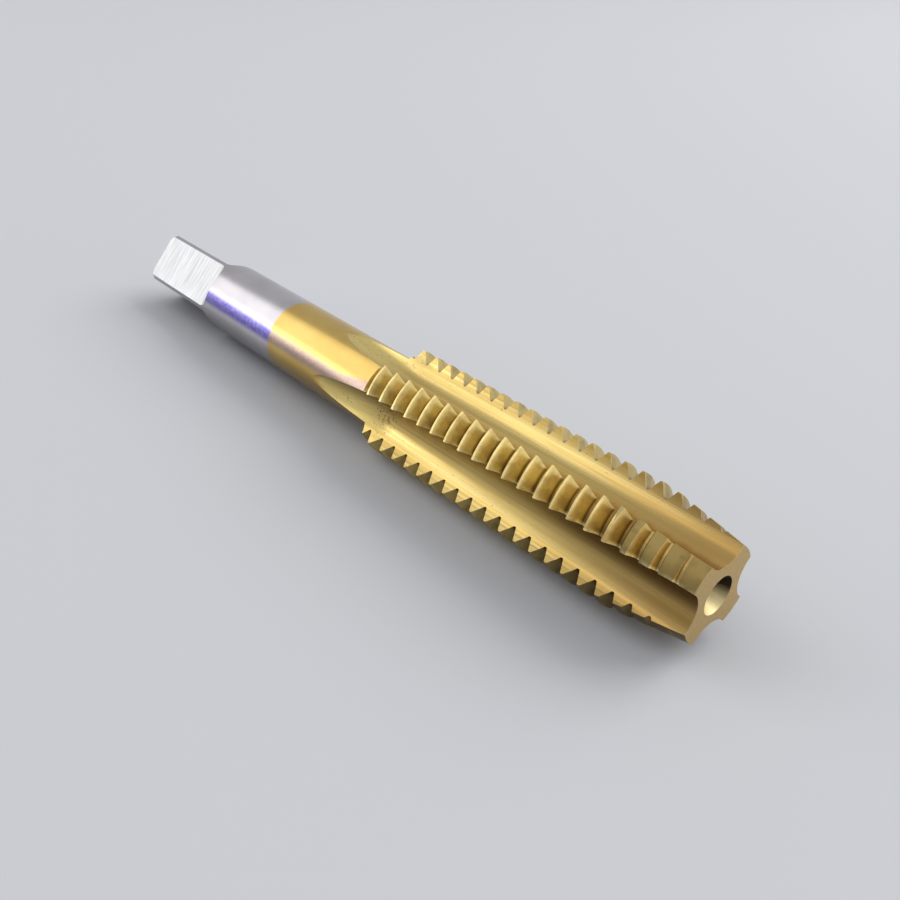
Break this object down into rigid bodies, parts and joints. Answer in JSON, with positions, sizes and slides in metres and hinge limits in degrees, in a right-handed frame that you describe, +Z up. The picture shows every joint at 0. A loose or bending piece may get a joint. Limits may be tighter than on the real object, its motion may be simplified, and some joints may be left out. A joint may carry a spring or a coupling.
{
  "type": "thread tap",
  "caption": "Straight-flute plug hand tap with a right-handed external cutting thread, tapered lead, round shank and square drive end.",
  "frame": {"origin": "centre of the footprint, on the surface that the tap lies on", "axes": "+X along the tap towards its lead end, +Y across it, +Z up; the axis of the tap rises by about one degree towards the lead"},
  "size_m": [0.0822, 0.0098, 0.0103],
  "materials": {
    "coated_high_speed_steel": "ground high-speed steel, gold titanium nitride over the thread, flutes and front of the shank, bare steel behind"
  },
  "bodies": {
    "root": {"thread_tap": "coated_high_speed_steel"}
  },
  "joints": []
}
